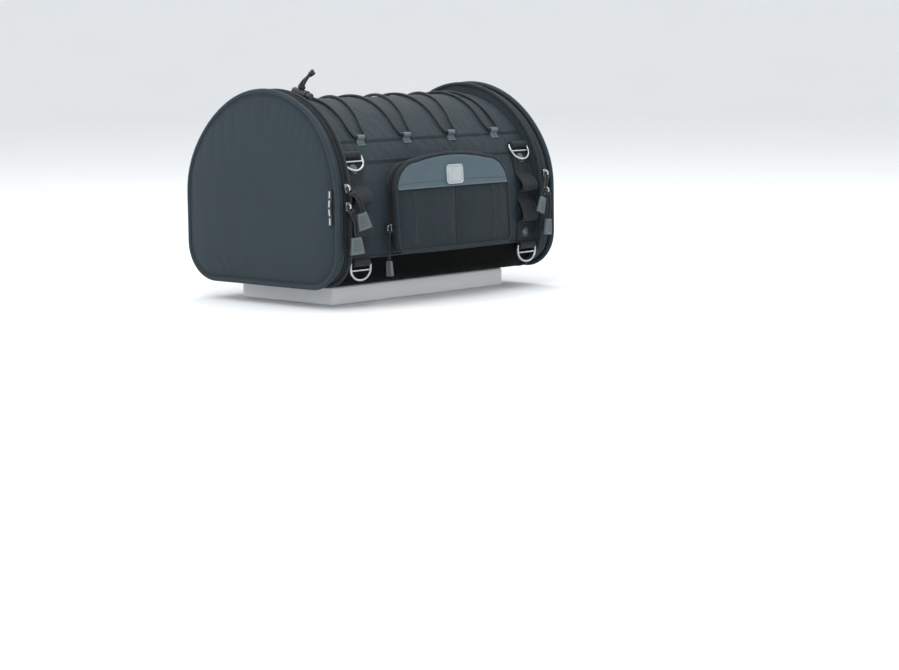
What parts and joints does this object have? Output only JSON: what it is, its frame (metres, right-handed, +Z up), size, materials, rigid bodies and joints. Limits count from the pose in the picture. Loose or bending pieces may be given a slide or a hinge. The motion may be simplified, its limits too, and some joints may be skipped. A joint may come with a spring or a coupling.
{
  "type": "motorcycle tail bag",
  "caption": "Barrel-shaped fabric tail bag with zipped end caps, a zipped front box pocket, bungee lacing over the top, D-ring webbing straps and buckled rear belts.",
  "frame": {"origin": "middle of the flat underside of the vinyl base", "axes": "+X along the barrel, across the motorcycle; -Y the front with the pocket; +Y the rear with the belts; +Z up"},
  "size_m": [0.4096, 0.2906, 0.2703],
  "materials": {
    "nylon": "coarse woven nylon, charcoal with a blue-grey cast",
    "nylon_dark": "woven nylon, darker",
    "webbing": "ribbed webbing",
    "zip_tape": "coil zip and tape",
    "lining": "plain lining cloth",
    "ribbon": "grey-teal ribbon",
    "base_vinyl": "smooth near-black vinyl",
    "band_vinyl": "grained grey-teal vinyl",
    "board": "plastic stiffener board",
    "black_plastic": "moulded black plastic",
    "cord": "braided elastic cord",
    "rubber": "soft grey rubber",
    "steel": "nickel plated"
  },
  "bodies": {
    "bag": {"barrel_shell": "nylon", "base_skin": "base_vinyl", "barrel_lining": "lining", "base_board": "board", "left_body_gusset": "nylon_dark", "left_body_piping": "nylon_dark", "left_body_zip": "zip_tape", "left_front_strap": "webbing", "right_body_gusset": "nylon_dark", "right_body_piping": "nylon_dark", "right_body_zip": "zip_tape", "right_front_strap": "webbing", "pocket_gusset": "nylon", "pocket_body_zip": "zip_tape", "front_lacing_tabs": "ribbon", "rear_lacing_tabs": "ribbon", "bungee_cord": "cord", "cord_lock_body": "black_plastic", "cord_lock_spring": "steel", "cord_whipping": "cord", "lower_rear_webbing": "webbing", "upper_rear_webbing": "webbing", "lower_buckle_socket": "black_plastic", "upper_buckle_socket": "black_plastic"},
    "left_end_cap": {"left_cap_gusset": "nylon", "left_cap_zip": "zip_tape", "left_end_board": "board", "left_end_panel": "nylon", "left_end_piping": "nylon_dark", "left_end_label": "webbing"},
    "right_end_cap": {"right_cap_gusset": "nylon", "right_cap_zip": "zip_tape", "right_end_board": "board", "right_end_panel": "nylon", "right_end_piping": "nylon_dark"},
    "pocket_flap": {"pocket_flap_zip": "zip_tape", "pocket_flap_gusset": "nylon", "pocket_piping": "nylon_dark", "pocket_panel": "nylon", "pocket_band": "band_vinyl", "pocket_badge": "steel"},
    "left_upper_slider_body": {"left_upper_slider": "steel"},
    "left_upper_pull_body": {"left_upper_pull": "rubber"},
    "left_lower_slider_body": {"left_lower_slider": "steel"},
    "left_lower_pull_body": {"left_lower_pull": "rubber"},
    "right_upper_slider_body": {"right_upper_slider": "steel"},
    "right_upper_pull_body": {"right_upper_pull": "rubber"},
    "right_lower_slider_body": {"right_lower_slider": "steel"},
    "right_lower_pull_body": {"right_lower_pull": "rubber"},
    "pocket_slider_body": {"pocket_slider": "steel"},
    "pocket_pull_body": {"pocket_pull": "rubber"},
    "left_upper_ring_body": {"left_upper_ring": "steel"},
    "left_lower_ring_body": {"left_lower_ring": "steel"},
    "right_upper_ring_body": {"right_upper_ring": "steel"},
    "right_lower_ring_body": {"right_lower_ring": "steel"},
    "lower_buckle_plug_body": {"lower_buckle_plug": "black_plastic"},
    "upper_buckle_plug_body": {"upper_buckle_plug": "black_plastic"},
    "cord_lock_button_body": {"cord_lock_button": "black_plastic"}
  },
  "joints": [
    {"name": "left_end_cap_hinge", "type": "hinge", "parent": "bag", "child": "left_end_cap", "pos_m": [-0.1853, 0, 0.002], "axis": [0, -1, 0], "range_deg": [0, 90]},
    {"name": "right_end_cap_hinge", "type": "hinge", "parent": "bag", "child": "right_end_cap", "pos_m": [0.1853, 0, 0.002], "axis": [0, 1, 0], "range_deg": [0, 90]},
    {"name": "pocket_flap_hinge", "type": "hinge", "parent": "bag", "child": "pocket_flap", "pos_m": [0, -0.13839, 0.04212], "axis": [1, 0, 0], "range_deg": [0, 85]},
    {"name": "left_upper_slider_run", "type": "hinge", "parent": "bag", "child": "left_upper_slider_body", "pos_m": [-0.1856, 0, 0.108], "axis": [-1, 0, 0], "range_deg": [-2, 165]},
    {"name": "left_upper_pull_swing", "type": "hinge", "parent": "left_upper_slider_body", "child": "left_upper_pull_body", "pos_m": [-0.1856, -0.14068, 0.12771], "axis": [-1, 0, 0], "range_deg": [0, 130]},
    {"name": "left_lower_slider_run", "type": "slide", "parent": "bag", "child": "left_lower_slider_body", "axis": [0, 0, 1], "range_m": [-0.045, 0.002]},
    {"name": "left_lower_pull_swing", "type": "hinge", "parent": "left_lower_slider_body", "child": "left_lower_pull_body", "pos_m": [-0.1856, -0.14205, 0.105], "axis": [-1, 0, 0], "range_deg": [0, 100]},
    {"name": "right_upper_slider_run", "type": "hinge", "parent": "bag", "child": "right_upper_slider_body", "pos_m": [0.1856, 0, 0.108], "axis": [-1, 0, 0], "range_deg": [-2, 165]},
    {"name": "right_upper_pull_swing", "type": "hinge", "parent": "right_upper_slider_body", "child": "right_upper_pull_body", "pos_m": [0.1856, -0.14068, 0.12771], "axis": [-1, 0, 0], "range_deg": [0, 130]},
    {"name": "right_lower_slider_run", "type": "slide", "parent": "bag", "child": "right_lower_slider_body", "axis": [0, 0, 1], "range_m": [-0.045, 0.002]},
    {"name": "right_lower_pull_swing", "type": "hinge", "parent": "right_lower_slider_body", "child": "right_lower_pull_body", "pos_m": [0.1856, -0.14205, 0.105], "axis": [-1, 0, 0], "range_deg": [0, 100]},
    {"name": "pocket_slider_run", "type": "slide", "parent": "bag", "child": "pocket_slider_body", "axis": [0, 0.0699, 0.9976], "range_m": [-0.013, 0.038]},
    {"name": "pocket_pull_swing", "type": "hinge", "parent": "pocket_slider_body", "child": "pocket_pull_body", "pos_m": [-0.11095, -0.13622, 0.07304], "axis": [0, 0.9976, -0.0699], "range_deg": [0, 25]},
    {"name": "left_upper_ring_swing", "type": "hinge", "parent": "bag", "child": "left_upper_ring_body", "pos_m": [-0.156, -0.1154, 0.16655], "axis": [-1, 0, 0], "range_deg": [0, 150]},
    {"name": "left_lower_ring_swing", "type": "hinge", "parent": "bag", "child": "left_lower_ring_body", "pos_m": [-0.156, -0.13079, 0.033], "axis": [-1, 0, 0], "range_deg": [0, 150]},
    {"name": "right_upper_ring_swing", "type": "hinge", "parent": "bag", "child": "right_upper_ring_body", "pos_m": [0.156, -0.1154, 0.16655], "axis": [-1, 0, 0], "range_deg": [0, 150]},
    {"name": "right_lower_ring_swing", "type": "hinge", "parent": "bag", "child": "right_lower_ring_body", "pos_m": [0.156, -0.13079, 0.033], "axis": [-1, 0, 0], "range_deg": [0, 150]},
    {"name": "lower_buckle_plug_release", "type": "slide", "parent": "bag", "child": "lower_buckle_plug_body", "axis": [-1, 0, 0], "range_m": [0, 0.018]},
    {"name": "upper_buckle_plug_release", "type": "slide", "parent": "bag", "child": "upper_buckle_plug_body", "axis": [-1, 0, 0], "range_m": [0, 0.018]},
    {"name": "cord_lock_press", "type": "slide", "parent": "bag", "child": "cord_lock_button_body", "axis": [0, 0.9761, 0.2175], "range_m": [0, 0.0025], "stiffness_N_per_m": 600, "deforming": ["cord_lock_spring"]}
  ]
}
